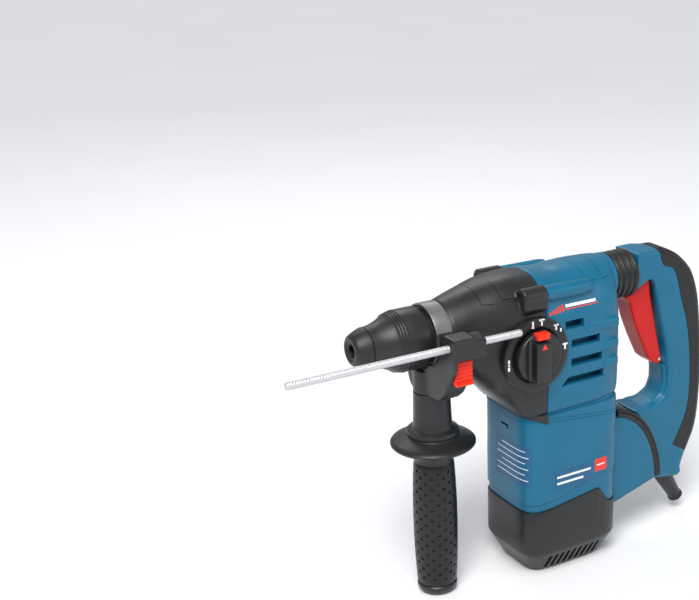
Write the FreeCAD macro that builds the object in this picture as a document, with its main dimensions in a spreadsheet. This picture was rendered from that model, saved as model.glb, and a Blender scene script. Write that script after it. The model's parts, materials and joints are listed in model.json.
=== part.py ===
import FreeCAD, Part
import math
import os
import re
import Sketcher
from FreeCAD import Placement, Rotation, Vector

# Rotary hammer. X runs along the tool axis with the chuck towards -X, Z is up.
# The origin lies on the tool axis at the mouth of the tool bore.
os.makedirs("parts", exist_ok=True)
doc = FreeCAD.newDocument("RotaryHammer")

sizes = {
    # tool holder and chuck
    "boreRadius": 5, "boreDepth": 42, "holderRadius": 11, "holderLength": 74,
    "boltBore": 8.2, "boltRadius": 8, "tubeRadius": 17, "tubeBore": 14.2, "tubeEnd": 140,
    "capFront": -3, "capEnd": 10, "capNose": 12.5, "capRear": 17.3, "capMouth": 5.6,
    "sleeveStart": 10.4, "sleeveEnd": 57, "sleeveRadius": 25.6, "sleeveNose": 16.6, "ballRadius": 3,
    # striking parts
    "strikerRadius": 13.9, "strikerFront": 80, "strikerRear": 98,
    "pistonRadius": 14.05, "pistonFront": 104, "pistonRear": 124, "wristX": 119.75, "wristRadius": 3,
    "crankX": 158.75, "crankThrow": 9, "crankPin": 3.5, "crankDisc": 16, "crankShaft": 6,
    # gears
    "gearModule": 1.25, "gearBottom": -50, "gearWidth": 8, "bevelX": 126.25,
    # casings
    "collarRadius": 25, "neckRadius": 21.5, "neckStart": 48, "collarStart": 61.5, "casingStart": 78,
    "wall": 3, "caseSplit": 158, "caseHalf": 40.5, "caseTop": 39.5, "caseFloor": -79.8, "caseRear": 240,
    "motorX": 190, "motorHalfLength": 51, "motorHalf": 41, "motorTop": -80, "motorBase": -172,
    "capShoulder": -214, "standZ": -237, "bottomInset": 12,
    "rearRingX": 245, "rearRingZ": 17.5, "rearRingRadius": 23,
    # motor
    "armatureRadius": 19, "statorRadius": 35, "statorBore": 20.2, "shaftRadius": 4,
    # mode selector
    "dialX": 144.5, "dialZ": -21, "dialRadius": 32, "dialFace": -44, "knobRadius": 21.5,
    # rear handle
    "handleHalf": 18, "handleFront": 270, "pivotX": 268, "pivotZ": -150,
    "footHalf": 26, "footLong": 50.5, "footHigh": 76.5, "footX": 241, "footZ": -185,
    "gaiterThick": 7, "gaiterGap": 1.5,
    "triggerHalf": 10, "triggerPivotX": 301, "triggerPivotZ": -68,
    # auxiliary handle
    "auxX": 69, "bandWidth": 13, "bandInner": 25.3, "bandOuter": 26.8,
    "rodY": -48, "rodZ": 4, "rodRadius": 3.2, "rodFront": -79, "rodRear": 126,
    "flangeZ": -96, "flangeRadius": 36, "gripTop": -112, "gripRadius": 17.6,
}
dims = doc.addObject("Spreadsheet::Sheet", "Dims")
for row, (alias, amount) in enumerate(sizes.items(), 1):
    cell = f"B{row}"
    dims.set(f"A{row}", alias)
    dims.set(cell, str(amount))
    dims.setAlias(cell, alias)
doc.recompute()

subParts = []
axisTurns = {
    "x": Rotation(),
    "y": Rotation(Vector(0, 0, 1), 90),
    "z": Rotation(Vector(0, 1, 0), -90),
}
rodTurns = {
    "x": Rotation(Vector(0, 1, 0), 90),
    "y": Rotation(Vector(1, 0, 0), -90),
    "z": Rotation(),
}


def dim(alias):
    return float(dims.get(alias))


def linked(text):
    """Point every word of an expression at the sheet."""
    return re.sub(r"[a-zA-Z]\w*", lambda word: "Dims." + word.group(), str(text))


def bind(item, path, text):
    item.setExpression(path, linked(text))


def place(item, at, rotation):
    item.Placement = Placement(Vector(), rotation)
    for letter, text in zip("xyz", at):
        bind(item, f".Placement.Base.{letter}", text)


def keep(item, label):
    item.Label = label
    subParts.append(item)
    return item


# Makers.

def outline(sketch, corners):
    """A closed polygon whose corners are tied to the sheet."""
    count = len(corners)
    spread = [Vector(math.cos(2 * math.pi * i / count), math.sin(2 * math.pi * i / count), 0)
              for i in range(count)]
    for i in range(count):
        sketch.addGeometry(Part.LineSegment(spread[i], spread[(i + 1) % count]), False)
    for i in range(count):
        sketch.addConstraint(Sketcher.Constraint("Coincident", i, 2, (i + 1) % count, 1))
    for i, corner in enumerate(corners):
        for kind, text in zip(("DistanceX", "DistanceY"), corner):
            number = sketch.addConstraint(Sketcher.Constraint(kind, -1, 1, i, 1, 1.0))
            bind(sketch, f"Constraints[{number}]", text)


def sketchOn(body, role, corners):
    sketch = body.newObject("Sketcher::SketchObject", "Profile")
    plane = next(item for item in body.Origin.OriginFeatures if item.Role == role)
    sketch.AttachmentSupport = (plane, [""])
    sketch.MapMode = "FlatFace"
    outline(sketch, corners)
    return sketch


def turned(label, corners, axis="x", at=(0, 0, 0)):
    """A turned piece: corners are (distance along the axis, radius)."""
    body = doc.addObject("PartDesign::Body", label)
    sketch = sketchOn(body, "XZ_Plane", corners)
    turn = body.newObject("PartDesign::Revolution", "Turn")
    turn.Profile = sketch
    turn.ReferenceAxis = (sketch, ["H_Axis"])
    turn.Angle = 360
    place(body, at, axisTurns[axis])
    return body


def ring(label, start, end, inner, outer, axis="x", at=(0, 0, 0)):
    corners = [(start, inner), (start, outer), (end, outer), (end, inner)]
    return turned(label, corners, axis, at)


def rod(radius, length, at, axis="x"):
    item = doc.addObject("Part::Cylinder", "Rod")
    bind(item, "Radius", radius)
    bind(item, "Height", length)
    place(item, at, rodTurns[axis])
    return item


def block(size, at):
    """A box of size (x, y, z) whose middle in X and Y and whose base in Z are at a place."""
    item = doc.addObject("Part::Box", "Block")
    for path, text in zip(("Length", "Width", "Height"), size):
        bind(item, path, text)
    middle = (f"({at[0]}) - ({size[0]}) / 2", f"({at[1]}) - ({size[1]}) / 2", at[2])
    place(item, middle, Rotation())
    return item


def joined(*items):
    fuse = doc.addObject("Part::MultiFuse", "Joined")
    fuse.Shapes = list(items)
    return fuse


def less(base, *tools):
    cut = doc.addObject("Part::Cut", "Less")
    cut.Base = base
    cut.Tool = tools[0] if len(tools) == 1 else joined(*tools)
    return cut


def shaped(shape):
    item = doc.addObject("Part::Feature", "Shaped")
    item.Shape = shape
    return item


def grouped(items):
    """Separate identical solids in one node."""
    group = doc.addObject("Part::Compound", "Group")
    group.Links = items
    return group


# Freeform helpers: closed rounded sections, lofted.

def roundedPoint(angle, upper, lower):
    power = upper if math.sin(angle) > 0 else lower
    across = math.copysign(abs(math.cos(angle)) ** (2 / power), math.cos(angle))
    up = math.copysign(abs(math.sin(angle)) ** (2 / power), math.sin(angle))
    return across, up


def closedWire(points):
    curve = Part.BSplineCurve()
    curve.interpolate(points, PeriodicFlag=True)
    return Part.Wire(curve.toShape())


def uprightSection(x, half, top, bottom, upper=2.6, lower=5, steps=40):
    """A section across the tool axis, arched above and squarer below."""
    middle, high = (top + bottom) / 2, (top - bottom) / 2
    angles = [2 * math.pi * (i + 0.5) / steps for i in range(steps)]
    pairs = [roundedPoint(angle, upper, lower) for angle in angles]
    return closedWire([Vector(x, half * across, middle + high * up) for across, up in pairs])


def levelSection(z, halfLength, half, power=5, steps=40):
    """A section across the motor axis."""
    angles = [2 * math.pi * (i + 0.5) / steps for i in range(steps)]
    pairs = [roundedPoint(angle, power, power) for angle in angles]
    return closedWire([Vector(dim("motorX") + halfLength * u, half * v, z) for u, v in pairs])


def loft(wires):
    return Part.makeLoft(wires, True, True)


def prism(corners, half):
    """A solid with an outline in the XZ plane, to both sides of the middle plane."""
    points = [Vector(x, -half, z) for x, z in corners]
    return Part.Face(Part.makePolygon(points + points[:1])).extrude(Vector(0, 2 * half, 0))


def ellipseCylinder(grow, half):
    """The round rear of the motor foot, larger by a margin."""
    centre = Vector(dim("footX"), -half, dim("footZ"))
    high, long = dim("footHigh") + grow, dim("footLong") + grow
    ellipse = Part.Ellipse(centre + Vector(0, 0, high), centre + Vector(long, 0, 0), centre)
    return Part.Face(Part.Wire(ellipse.toShape())).extrude(Vector(0, 2 * half, 0))


def boxShape(low, high):
    size = Vector(*high) - Vector(*low)
    return Part.makeBox(size.x, size.y, size.z, Vector(*low))


def gearBlank(teeth, width, thin=0.22):
    """A spur gear on Z with involute flanks, its teeth thinned for backlash."""
    module = dim("gearModule")
    pitch, base = module * teeth / 2, module * teeth / 2 * math.cos(math.radians(20))
    root, tip = pitch - 1.2 * module, pitch + 0.85 * module
    atPitch = math.tan(math.acos(base / pitch)) - math.acos(base / pitch)
    halfTooth = math.pi / 2 / teeth * (1 - thin) + atPitch
    flank = []
    for step in range(5):
        radius = max(base, root) + (tip - max(base, root)) * step / 4
        roll = math.acos(min(1, base / radius))
        flank.append((radius, halfTooth - math.tan(roll) + roll))
    if root < base:
        flank.insert(0, (root, flank[0][1]))
    points = []
    for tooth in range(teeth):
        middle = 2 * math.pi * tooth / teeth
        for radius, lean in flank:
            points.append(Vector(radius * math.cos(middle - lean), radius * math.sin(middle - lean), 0))
        for radius, lean in reversed(flank):
            points.append(Vector(radius * math.cos(middle + lean), radius * math.sin(middle + lean), 0))
    return Part.Face(Part.makePolygon(points + points[:1])).extrude(Vector(0, 0, width))


# Tool holder, chuck and striking parts.

def makeChuck():
    holder = turned("HolderBlank", [
        ("0", "boreRadius"), ("0", "holderRadius - 0.6"), ("0.6", "holderRadius"),
        ("holderLength - 2", "holderRadius"), ("holderLength", "tubeRadius"), ("tubeEnd", "tubeRadius"),
        ("tubeEnd", "tubeBore"), ("holderLength + 4", "tubeBore"), ("holderLength + 4", "boltBore"),
        ("boreDepth", "boltBore"), ("boreDepth", "boreRadius")])
    slots = [rod("ballRadius + 0.05", 8, (18, "4.6" if side > 0 else "-12.6", 0), "y") for side in (1, -1)]
    keep(less(holder, *slots), "tool_holder")
    balls = []
    for side in (1, -1):
        ball = doc.addObject("Part::Sphere", "Ball")
        bind(ball, "Radius", "ballRadius")
        place(ball, (18, f"{side * 8.35}", 0), Rotation())
        balls.append(ball)
    keep(grouped(balls), "locking_balls")
    keep(turned("dust_cap", [
        ("capFront", "capMouth"), ("capFront", "capNose - 1.5"), ("capFront + 1.5", "capNose + 0.4"),
        ("capEnd - 4", "capRear - 0.8"), ("capEnd", "capRear"), ("capEnd", "holderRadius + 0.05"),
        ("-0.05", "holderRadius + 0.05"), ("-0.05", "capMouth")]), "dust_cap")
    keep(turned("locking_sleeve", [
        ("sleeveStart", "holderRadius + 0.5"), ("sleeveStart", "sleeveNose"),
        ("sleeveStart + 5", "sleeveNose + 1.2"), ("31", "sleeveRadius - 2"), ("39", "sleeveRadius"),
        ("sleeveEnd - 1", "sleeveRadius"), ("sleeveEnd", "sleeveRadius - 1"),
        ("sleeveEnd", "neckRadius + 0.8"), ("42", "neckRadius + 0.8"), ("42", "17"), ("30", "17"),
        ("30", "12"), ("26", "holderRadius + 0.5")]), "locking_sleeve")
    keep(turned("crown_gear", [
        ("108", "tubeRadius + 0.02"), ("108", "24"), ("112", "29"), ("118", "29"), ("116.5", "22"),
        ("116.5", "tubeRadius + 0.02")]), "crown_gear")
    helix = Part.makeHelix(2.8, 8.4, 14.2)
    wire = Part.Wire(Part.makeCircle(0.8, Vector(14.2, 0, 0), Vector(0, 1, 0)))
    coil = Part.Wire(helix).makePipeShell([wire], True, True)
    coil.rotate(Vector(), Vector(0, 1, 0), 90)
    coil.translate(Vector(34.9, 0, 0))
    keep(shaped(coil), "sleeve_spring")


def makeStriking():
    keep(turned("impact_bolt", [
        ("45", "0"), ("45", "boltRadius - 2"), ("47", "boltRadius"), ("70", "boltRadius"),
        ("72", "boltRadius - 2"), ("72", "0")]), "impact_bolt")
    keep(turned("striker", [
        ("strikerFront", "0"), ("strikerFront", "9"), ("strikerFront + 3", "strikerRadius"),
        ("strikerRear - 5", "strikerRadius"), ("strikerRear - 5", "12.2"), ("strikerRear - 2", "12.2"),
        ("strikerRear - 2", "strikerRadius"), ("strikerRear", "strikerRadius"), ("strikerRear", "0")]),
        "striker")
    keep(ring("striker_ring", "strikerRear - 4.9", "strikerRear - 2.1", "12.25", "tubeBore - 0.1"),
         "striker_ring")
    blank = turned("PistonBlank", [
        ("pistonFront", "0"), ("pistonFront", "pistonRadius"), ("pistonRear", "pistonRadius"),
        ("pistonRear", "11"), ("pistonFront + 6", "11"), ("pistonFront + 6", "0")])
    keep(less(blank, rod("wristRadius + 0.03", 30, ("wristX", 0, -15), "z")), "piston")
    keep(rod("wristRadius", 26, ("wristX", 0, -13), "z"), "wrist_pin")
    bigEye = rod(7.4, 7, ("crankX - crankThrow", 0, -3.5), "z")
    smallEye = rod(5.6, 7, ("wristX", 0, -3.5), "z")
    beam = block(("crankX - crankThrow - wristX", 6.4, 5),
                 ("(crankX - crankThrow + wristX) / 2", 0, -2.5))
    holes = [rod("wristRadius + 0.06", 9, ("wristX", 0, -4.5), "z"),
             rod("crankPin + 0.06", 9, ("crankX - crankThrow", 0, -4.5), "z")]
    keep(less(joined(bigEye, smallEye, beam), *holes), "connecting_rod")


def makeGears():
    wheel = gearBlank(40, dim("gearWidth")).cut(Part.makeCylinder(dim("crankShaft") + 0.01, 20))
    wheel.translate(Vector(dim("crankX"), 0, dim("gearBottom")))
    keep(shaped(wheel), "crank_gear")
    shaft = rod("crankShaft", 46, ("crankX", 0, -60), "z")
    disc = rod("crankDisc", 6, ("crankX", 0, -14), "z")
    pin = rod("crankPin", 3.8, ("crankX - crankThrow", 0, -8), "z")
    keep(joined(shaft, disc, pin), "crankshaft")
    follower = gearBlank(12, dim("gearWidth"))
    follower.rotate(Vector(), Vector(0, 0, 1), 15)
    bevel = Part.makeCone(4.6, 7.2, 9, Vector(0, 0, 18))
    spindle = Part.makeCylinder(4, 31, Vector(0, 0, -8))
    bevelShaft = follower.fuse([bevel, spindle]).removeSplitter()
    bevelShaft.translate(Vector(dim("bevelX"), 0, dim("gearBottom")))
    keep(shaped(bevelShaft), "bevel_shaft")


# Motor.

def makeMotor():
    pinion = gearBlank(10, dim("gearWidth") + 2)
    pinion.rotate(Vector(), Vector(0, 0, 1), 18)
    pinion.translate(Vector(dim("motorX"), 0, dim("gearBottom") - 1))
    shaft = Part.makeCylinder(dim("shaftRadius"), 171, Vector(dim("motorX"), 0, -222))
    keep(shaped(pinion.fuse(shaft).removeSplitter()), "armature_shaft")
    at = ("motorX", 0, 0)
    keep(ring("armature_core", -172, -118, "shaftRadius + 0.01", "armatureRadius", "z", at), "armature_core")
    keep(turned("commutator", [
        (-201, "shaftRadius + 0.01"), (-201, 12), (-183.6, 12), (-183.6, 14), (-182, 14),
        (-182, "shaftRadius + 0.01")], "z", at), "commutator")
    hub = ring("FanHub", -108, -104, "shaftRadius + 0.01", 30, "z", at)
    blades = []
    for step in range(12):
        blade = doc.addObject("Part::Box", "Blade")
        blade.Length, blade.Width, blade.Height = 18, 1.6, 8
        turn = Rotation(Vector(0, 0, 1), 30 * step)
        spot = Vector(dim("motorX"), 0, -104.5) + turn.multVec(Vector(11, -0.8, 0))
        blade.Placement = Placement(spot, turn)
        blades.append(blade)
    keep(joined(hub, *blades), "cooling_fan")
    keep(ring("stator_core", -175, -115, "statorBore", "statorRadius", "z", at), "stator_core")
    windings = [ring("Winding", low, low + 6, 21, 33, "z", at) for low in (-181.2, -114.8)]
    keep(grouped(windings), "field_windings")
    boxes = [less(block((12, 16, 14), ("motorX", f"{side * 21.2}", -198)),
                  block((7.2, 20, 9.2), ("motorX", f"{side * 21.2}", -195.6))) for side in (1, -1)]
    keep(grouped(boxes), "brush_holders")
    brushes = [block((7, 14, 9), ("motorX", f"{side * 19.3}", -195.5)) for side in (1, -1)]
    keep(grouped(brushes), "carbon_brushes")
    keep(ring("motor_bearing_upper", -62, -55, "shaftRadius + 0.02", 11, "z", at), "motor_bearing_upper")
    keep(ring("motor_bearing_lower", -221, -215, "shaftRadius + 0.02", 9, "z", at), "motor_bearing_lower")
    keep(ring("fan_baffle", -108.4, -96, 31.5, 37, "z", at), "fan_baffle")


# Casings.

def gearCase(inset):
    """Outline of the gear housing, or of its cavity when inset."""
    half, top, floor = dim("caseHalf"), dim("caseTop"), dim("caseFloor")
    split, start = dim("caseSplit"), dim("casingStart")
    rows = [(start, 27.5, 27.5, -27.5, 2, 2), (103, 33.5, 34, -46, 2.2, 2.4), (125, 38, 38.5, -68, 2.5, 3.4),
            (139, 40, 39.5, floor, 2.6, 7), (split, half, top, floor, 2.6, 9)]
    wires = []
    for x, wide, high, low, upper, lower in rows:
        reach = x + (0.5 if inset and x == split else 0)
        wires.append(uprightSection(reach, wide - inset, high - inset, low + inset, upper, lower))
    return loft(wires)


def lugs():
    """Middle of each casing screw, as (y, z)."""
    return [(side * 33, z) for side in (1, -1) for z in (27, -62)]


def makeGearHousing():
    outer = gearCase(0)
    collar = Part.makeCylinder(dim("collarRadius"), 20, Vector(dim("collarStart"), 0, 0), Vector(1, 0, 0))
    neck = Part.makeCylinder(dim("neckRadius"), 16, Vector(dim("neckStart"), 0, 0), Vector(1, 0, 0))
    body = outer.fuse([collar, neck])
    for y, z in lugs():
        body = body.fuse(Part.makeCylinder(7.5, 20, Vector(dim("caseSplit") - 20, y, z), Vector(1, 0, 0)))
    cavity = gearCase(dim("wall"))
    bores = [Part.makeCylinder(20.02, 32, Vector(54, 0, 0), Vector(1, 0, 0)),
             Part.makeCylinder(12.4, 8, Vector(47, 0, 0), Vector(1, 0, 0))]
    body = body.cut(cavity.fuse(bores))
    for y, z in lugs():
        boss = Part.makeCylinder(5, 12, Vector(dim("caseSplit") - 12, y, z), Vector(1, 0, 0))
        body = body.fuse(boss).cut(Part.makeCylinder(2.2, 30, Vector(dim("caseSplit") - 25, y, z),
                                                     Vector(1, 0, 0)))
        body = body.cut(Part.makeCylinder(4.2, 30, Vector(dim("caseSplit") - 46, y, z), Vector(1, 0, 0)))
    dialSeat = Part.makeCylinder(dim("dialRadius") + 0.2, 12, Vector(dim("dialX"), -50, dim("dialZ")),
                                 Vector(0, 1, 0))
    pinHole = Part.makeCylinder(8.3, 20, Vector(dim("dialX"), -45, dim("dialZ")), Vector(0, 1, 0))
    flange = Part.makeCylinder(dim("dialRadius") + 3, 8, Vector(dim("dialX"), -44, dim("dialZ")),
                               Vector(0, 1, 0))
    keepSide = boxShape((dim("casingStart"), -60, -100), (dim("caseSplit"), 0, 60))
    seat = flange.common(keepSide).cut(dialSeat).cut(pinHole)
    body = body.fuse(seat).cut(dialSeat).cut(pinHole)
    body = body.cut(Part.makeCylinder(8, 40, Vector(dim("bevelX"), 0, -62), Vector(0, 0, 1)))
    keep(shaped(body.removeSplitter()), "gear_housing")


def upperCase(inset):
    half, top, floor = dim("caseHalf"), dim("caseTop"), dim("caseFloor")
    front, rear = dim("caseSplit") + 0.15, dim("caseRear")
    rows = [(front - (1 if inset else 0), half, 2.6), (206, half, 2.6), (228, 37, 2.5),
            (rear - inset, 30, 2.4)]
    wires = [uprightSection(x, wide - inset, top - inset, floor + inset, upper, 9)
             for x, wide, upper in rows]
    return loft(wires)


def makeUpperHousing():
    radius, ringZ = dim("rearRingRadius"), dim("rearRingZ")
    rearRing = Part.makeCylinder(radius - 1, 11, Vector(dim("rearRingX") - 11, 0, ringZ), Vector(1, 0, 0))
    body = upperCase(0).fuse(rearRing)
    for y, z in lugs():
        body = body.fuse(Part.makeCylinder(7.5, 18, Vector(dim("caseSplit") + 0.15, y, z), Vector(1, 0, 0)))
    rearBore = Part.makeCylinder(radius - 5, 20, Vector(dim("rearRingX") - 19, 0, ringZ), Vector(1, 0, 0))
    cavity = upperCase(dim("wall")).fuse(boxShape((165, -35, dim("caseFloor") - 1), (228, 35, -70)))
    body = body.cut(cavity.fuse(rearBore))
    for y, z in lugs():
        boss = Part.makeCylinder(5, 16, Vector(dim("caseSplit") + 0.15, y, z), Vector(1, 0, 0))
        pilot = Part.makeCylinder(2.2, 17, Vector(dim("caseSplit"), y, z), Vector(1, 0, 0))
        body = body.fuse(boss).cut(pilot)
    for front, rear, z in ((176, 195, -3), (182, 212, -20), (182, 215, -37), (172, 217, -53)):
        for side in (-1, 1):
            low, high = sorted((side * 30, side * 45))
            body = body.cut(boxShape((front, low, z - 3.6), (rear, high, z + 3.6)))
    dialSeat = Part.makeCylinder(dim("dialRadius") + 0.2, 20, Vector(dim("dialX"), -55, dim("dialZ")),
                                 Vector(0, 1, 0))
    body = body.cut(dialSeat)
    keep(shaped(body.removeSplitter()), "upper_housing")


def screwSpots():
    """Middle of each motor cap screw, as (x, y)."""
    return [(dim("motorX") + 36 * along, 27 * side) for along in (-1, 1) for side in (-1, 1)]


def tongueWay():
    """The slot in the foot and its seal for the tongue of the rear handle."""
    return boxShape((272, -11.5, -172), (312, 11.5, -134))


def makeMotorHousing():
    long, half, wall = dim("motorHalfLength"), dim("motorHalf"), dim("wall")
    top, base = dim("motorTop") - 0.15, dim("motorBase")
    outer = loft([levelSection(base, long, half), levelSection(top, long, half)])
    inner = loft([levelSection(base - 1, long - wall, half - wall),
                  levelSection(top + 1, long - wall, half - wall)])
    rear = boxShape((dim("footX") - 4, -dim("footHalf"), -196), (320, dim("footHalf"), -100))
    under = prism([(230, -300), (dim("footX") + 0.3, -172.2), (dim("footX") + 0.3, -195), (300, -178),
                   (340, -178), (340, -300)], 60)
    front = boxShape((220, -60, -300), (dim("footX") + 0.3, 60, dim("motorBase") - 0.01))
    foot = ellipseCylinder(0, dim("footHalf")).common(rear).cut(under).cut(front)
    hollow = ellipseCylinder(-3.5, dim("footHalf") - 3.5)
    hollow = hollow.common(boxShape((dim("footX") - 6, -40, -170), (320, 40, -100)))
    body = outer.fuse(foot).cut(inner).cut(hollow)
    for x, y in screwSpots():
        post = Part.makeCylinder(4.8, 18, Vector(x, y, base))
        low, high = sorted((y, math.copysign(half - 1, y)))
        body = body.fuse([post, boxShape((x - 1.5, low, base), (x + 1.5, high, base + 18))])
        body = body.cut(Part.makeCylinder(2.2, 17, Vector(x, y, base - 1)))
    body = body.cut(tongueWay())
    body = body.cut(Part.makeCylinder(4.05, 80, Vector(dim("pivotX"), -40, dim("pivotZ")), Vector(0, 1, 0)))
    keep(shaped(body.removeSplitter()), "motor_housing")


def makeMotorCap():
    long, half, wall, inset = dim("motorHalfLength"), dim("motorHalf"), dim("wall"), dim("bottomInset")
    top, shoulder, base = dim("motorBase") - 0.15, dim("capShoulder"), dim("standZ")
    outer = loft([levelSection(top, long, half), levelSection(shoulder, long, half)])
    outer = outer.fuse(loft([levelSection(shoulder, long, half),
                             levelSection(base, long - inset, half - inset)]))
    inner = loft([levelSection(top + 1, long - wall, half - wall),
                  levelSection(shoulder + 1, long - wall, half - wall)])
    low = loft([levelSection(shoulder + 1, long - wall, half - wall),
                levelSection(base + wall, long - inset - wall + 1, half - inset - wall + 1)])
    body = outer.cut(inner.fuse(low))
    body = body.fuse(Part.makeCylinder(12, base * -1 - 214, Vector(dim("motorX"), 0, base)))
    body = body.cut(Part.makeCylinder(9.03, 7.1, Vector(dim("motorX"), 0, -221.1)))
    body = body.cut(Part.makeCylinder(6, 4, Vector(dim("motorX"), 0, -225)))
    for x, y in screwSpots():
        low, high = sorted((y, math.copysign(half, y)))
        rib = boxShape((x - 1.5, low, base), (x + 1.5, high, top - 0.5))
        post = Part.makeCylinder(5.4, top - base - 0.5, Vector(x, y, base)).fuse(rib).common(outer)
        body = body.fuse(post).cut(Part.makeCylinder(2.2, 80, Vector(x, y, base - 1)))
        body = body.cut(Part.makeCylinder(4.1, 15, Vector(x, y, base - 1)))
    for side in (-1, 1):
        for step in range(9):
            x = dim("motorX") - 26 + 6.5 * step
            slot = boxShape((x - 1.6, -7, -9), (x + 1.6, 7, 7))
            slot.translate(Vector(0, side * 35, -226))
            body = body.cut(slot)
    keep(shaped(body.removeSplitter()), "motor_cap")


def makeInnerFrames():
    wide = block((72, 54, 6), ("motorX - 4", 0, -58))
    nose = block((34, 20, 6), (137, 0, -58))
    hub = rod(14, 9, ("motorX", 0, -64), "z")
    crankBoss = rod(13, 8, ("crankX", 0, -61), "z")
    holes = [rod(11.02, 30, ("motorX", 0, -70), "z"), rod(10.02, 30, ("crankX", 0, -70), "z"),
             rod(7.02, 30, ("bevelX", 0, -70), "z")]
    keep(less(joined(wide, nose, hub, crankBoss), *holes), "gearbox_plate")
    bearings = [ring("CrankBearing", -60, -53, "crankShaft + 0.02", 10, "z", ("crankX", 0, 0)),
                ring("BevelBearing", -58, -52.5, 4.02, 7, "z", ("bevelX", 0, 0))]
    keep(grouped(bearings), "gear_shaft_bearings")
    frame = block((6, 54, 46), (137, 0, -22))
    keep(less(frame, rod(21.03, 20, (130, 0, 0), "x")), "tube_bracket")
    keep(ring("tube_bearing", 134.2, 139.8, "tubeRadius + 0.03", 21), "tube_bearing")
    keep(ring("spindle_bearing", 60, 70, "holderRadius + 0.03", 20), "spindle_bearing")
    keep(block((24, 44, 40), (223, 0, -38)), "control_electronics")
    rods = [rod(2.5, 50, (173, f"{side * 29}", -12), "x") for side in (1, -1)]
    keep(grouped(rods), "absorber_rods")
    weight = joined(block((24, 60, 5), (193, 0, -8.5)), *[rod(6, 24, (181, f"{side * 29}", -12), "x")
                                                        for side in (1, -1)])
    weight = less(weight, *[rod(2.6, 30, (178, f"{side * 29}", -12), "x") for side in (1, -1)])
    keep(weight, "absorber_weight")


def makeScrews():
    screws = []
    for y, z in lugs():
        head = rod(4, 4, ("caseSplit - 20", y, z), "x")
        screws.append(joined(head, rod(2.1, 31, ("caseSplit - 17", y, z), "x")))
    keep(grouped(screws), "housing_screws")
    screws = []
    for x, y in screwSpots():
        head = rod(3.9, 3, (x, y, "standZ + 10.9"), "z")
        screws.append(joined(head, rod(2.1, 66, (x, y, "standZ + 13"), "z")))
    keep(grouped(screws), "motor_cap_screws")


# Mode selector.

def makeSelector():
    at = ("dialX", 0, "dialZ")
    face = "dialFace"
    keep(ring("mode_dial_plate", face, "dialFace + 5.5", "knobRadius * 0.4", "dialRadius", "y", at),
         "mode_dial_plate")
    base = turned("KnobBase", [
        ("dialFace - 6", 0), ("dialFace - 6", "knobRadius - 2"), ("dialFace - 4", "knobRadius"),
        ("dialFace - 0.3", "knobRadius"), ("dialFace - 0.3", "8"), ("dialFace + 9", "8"),
        ("dialFace + 9", 0)], "y", at)
    bar = block((14, 7, "knobRadius * 2 - 3"), ("dialX", "dialFace - 8", "dialZ - knobRadius + 1"))
    pin = rod(2, 6, ("dialX", "dialFace + 8", "dialZ + 5"), "y")
    slot = block((11, 4, 9), ("dialX", "dialFace - 9.6", "dialZ + knobRadius - 8"))
    keep(less(joined(base, bar, pin), slot), "mode_knob")
    button = block((10.4, 3.4, 6), ("dialX", "dialFace - 9.8", "dialZ + knobRadius - 4.6"))
    keep(button, "knob_release_button")


# Rear handle.

def handleOutline():
    """Side view of the whole rear handle, its round back as a smooth curve."""
    half = dim("handleHalf")
    back = [(302, 37.5), (320, 28), (336, 12), (345.5, -7), (351.5, -31), (356, -63), (358, -104),
            (354, -145), (338, -176), (331, -196)]
    curve = Part.BSplineCurve()
    curve.interpolate([Vector(x, -half, z) for x, z in back])
    front = [(331, -196), (303, -190), (292, -160), (250, -104), (288, -102), (297, -94), (300, -76),
             (309, -74), (293, -1.5), (dim("handleFront"), -1.5), (dim("handleFront"), 37.5), (302, 37.5)]
    edges = [curve.toShape()]
    for (x, z), (nextX, nextZ) in zip(front, front[1:]):
        edges.append(Part.LineSegment(Vector(x, -half, z), Vector(nextX, -half, nextZ)).toShape())
    return Part.Face(Part.Wire(edges)).extrude(Vector(0, 2 * half, 0))


def bootPlace(shape):
    shape.rotate(Vector(), Vector(0, 1, 0), 180 - 32)
    shape.translate(Vector(319, 0, -191))
    return shape


def cordBoot(grow):
    """The strain relief: a tapered tube with a thicker lip at its end."""
    boot = Part.makeCone(9 + grow, 6.2 + grow, 36)
    boot = boot.fuse(Part.makeCylinder(7.5, 3, Vector(0, 0, 36)))
    if not grow:
        boot = boot.cut(Part.makeCylinder(4, 60, Vector(0, 0, -5)))
    return bootPlace(boot)


def pinWay(radius, length):
    """A bore across the handle on the trigger's pivot."""
    start = Vector(dim("triggerPivotX"), -length / 2, dim("triggerPivotZ"))
    return Part.makeCylinder(radius, length, start, Vector(0, 1, 0))


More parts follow.
